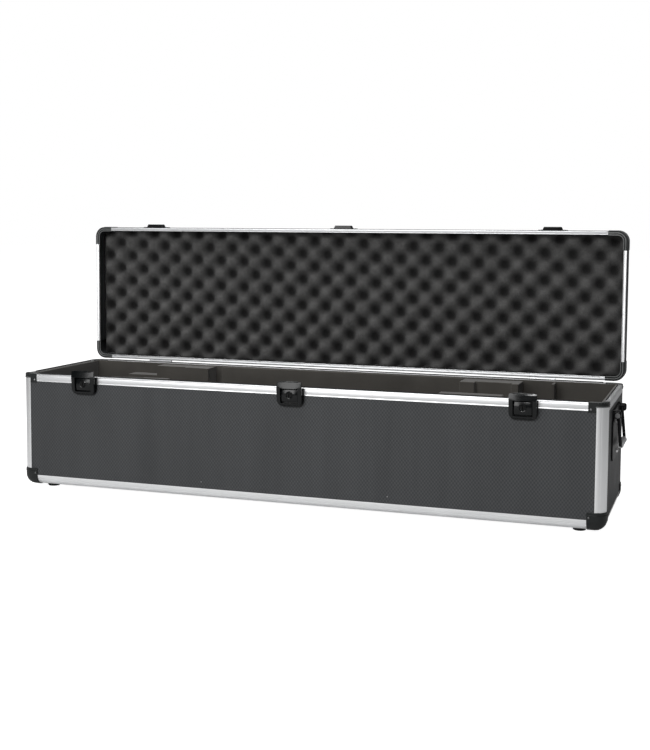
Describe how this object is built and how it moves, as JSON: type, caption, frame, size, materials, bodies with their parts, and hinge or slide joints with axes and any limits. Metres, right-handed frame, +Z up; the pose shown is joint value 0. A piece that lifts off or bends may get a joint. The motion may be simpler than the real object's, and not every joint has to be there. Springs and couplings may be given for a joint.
{
  "type": "telescope carry case",
  "caption": "Long aluminium-framed hard case with a foam-lined body, hinged lid with egg-crate foam, front latches and end handles.",
  "frame": {"origin": "centre of the underside of the bottom panel", "axes": "+Z up, -Y towards the front with the latches, +X towards the right-hand end"},
  "size_m": [1.2366, 0.3705, 0.5519],
  "materials": {
    "laminate": "thin plywood panel faced with dark grey embossed laminate",
    "aluminium": "satin anodised extrusion with fine lengthwise drawing lines",
    "black_plastic": "moulded, semi-matt",
    "rubber": "matt moulded rubber",
    "foam": "foam faced with fine dark felt",
    "lid_foam": "open-cell egg-crate foam",
    "latch_black": "polished black enamel over die casting",
    "lock_steel": "black-nickel lock barrel",
    "hinge_steel": "zinc-plated steel",
    "handle_black": "black powder-coated steel",
    "handle_grip": "grey ribbed plastic grip on a steel rod"
  },
  "bodies": {
    "case_body": {"front_panel": "laminate", "rear_panel": "laminate", "left_end_panel": "laminate", "right_end_panel": "laminate", "bottom_panel": "laminate", "corner_post_front_left": "aluminium", "corner_post_front_right": "aluminium", "corner_post_rear_left": "aluminium", "corner_post_rear_right": "aluminium", "bottom_rail_front": "aluminium", "bottom_rail_rear": "aluminium", "bottom_rail_left": "aluminium", "bottom_rail_right": "aluminium", "rim_rail_front": "aluminium", "rim_rail_rear": "aluminium", "rim_rail_left": "aluminium", "rim_rail_right": "aluminium", "bottom_corner_front_left": "black_plastic", "bottom_corner_front_right": "black_plastic", "bottom_corner_rear_left": "black_plastic", "bottom_corner_rear_right": "black_plastic", "top_bracket_front_left": "black_plastic", "top_bracket_front_right": "black_plastic", "top_bracket_rear_left": "black_plastic", "top_bracket_rear_right": "black_plastic", "foot_front_left": "rubber", "foot_front_right": "rubber", "foot_rear_left": "rubber", "foot_rear_right": "rubber", "foam_lining": "foam", "cradle_left": "foam", "cradle_right": "foam", "accessory_divider": "foam", "latch_base_left": "latch_black", "latch_base_middle": "latch_black", "latch_base_right": "latch_black", "hinge_body_leaf_left": "hinge_steel", "handle_bracket_left": "handle_black", "hinge_body_leaf_right": "hinge_steel", "handle_bracket_right": "handle_black"},
    "lid": {"lid_frame": "aluminium", "lid_panel": "laminate", "lid_corner_front_left": "black_plastic", "lid_corner_front_right": "black_plastic", "lid_corner_rear_left": "black_plastic", "lid_corner_rear_right": "black_plastic", "lid_foam": "lid_foam", "lid_keeper_left": "latch_black", "lid_keeper_middle": "latch_black", "lid_keeper_right": "latch_black", "hinge_lid_leaf_left": "hinge_steel", "hinge_lid_leaf_right": "hinge_steel"},
    "latch_lever_left": {"latch_lever_left": "latch_black"},
    "key_cylinder_left": {"key_cylinder_left": "lock_steel"},
    "latch_lever_middle": {"latch_lever_middle": "latch_black"},
    "key_cylinder_middle": {"key_cylinder_middle": "lock_steel"},
    "latch_lever_right": {"latch_lever_right": "latch_black"},
    "key_cylinder_right": {"key_cylinder_right": "lock_steel"},
    "handle_bail_left": {"handle_bail_left": "handle_grip"},
    "handle_bail_right": {"handle_bail_right": "handle_grip"}
  },
  "joints": [
    {"name": "lid_hinge", "type": "hinge", "parent": "case_body", "child": "lid", "pos_m": [0, 0.154, 0.2315], "axis": [1, 0, 0], "range_deg": [0, 90]},
    {"name": "latch_lever_left_hinge", "type": "hinge", "parent": "case_body", "child": "latch_lever_left", "pos_m": [-0.45, -0.1568, 0.2], "axis": [1, 0, 0], "range_deg": [0, 110]},
    {"name": "key_left_turn", "type": "hinge", "parent": "case_body", "child": "key_cylinder_left", "pos_m": [-0.45, -0.1612, 0.217], "axis": [0, 1, 0], "range_deg": [0, 90]},
    {"name": "latch_lever_middle_hinge", "type": "hinge", "parent": "case_body", "child": "latch_lever_middle", "pos_m": [0, -0.1568, 0.2], "axis": [1, 0, 0], "range_deg": [0, 110]},
    {"name": "key_middle_turn", "type": "hinge", "parent": "case_body", "child": "key_cylinder_middle", "pos_m": [0, -0.1612, 0.217], "axis": [0, 1, 0], "range_deg": [0, 90]},
    {"name": "latch_lever_right_hinge", "type": "hinge", "parent": "case_body", "child": "latch_lever_right", "pos_m": [0.45, -0.1568, 0.2], "axis": [1, 0, 0], "range_deg": [0, 110]},
    {"name": "key_right_turn", "type": "hinge", "parent": "case_body", "child": "key_cylinder_right", "pos_m": [0.45, -0.1612, 0.217], "axis": [0, 1, 0], "range_deg": [0, 90]},
    {"name": "handle_left_swing", "type": "hinge", "parent": "case_body", "child": "handle_bail_left", "pos_m": [-0.6083, 0, 0.197], "axis": [0, 1, 0], "range_deg": [0, 95]},
    {"name": "handle_right_swing", "type": "hinge", "parent": "case_body", "child": "handle_bail_right", "pos_m": [0.6083, 0, 0.197], "axis": [0, -1, 0], "range_deg": [0, 95]}
  ]
}
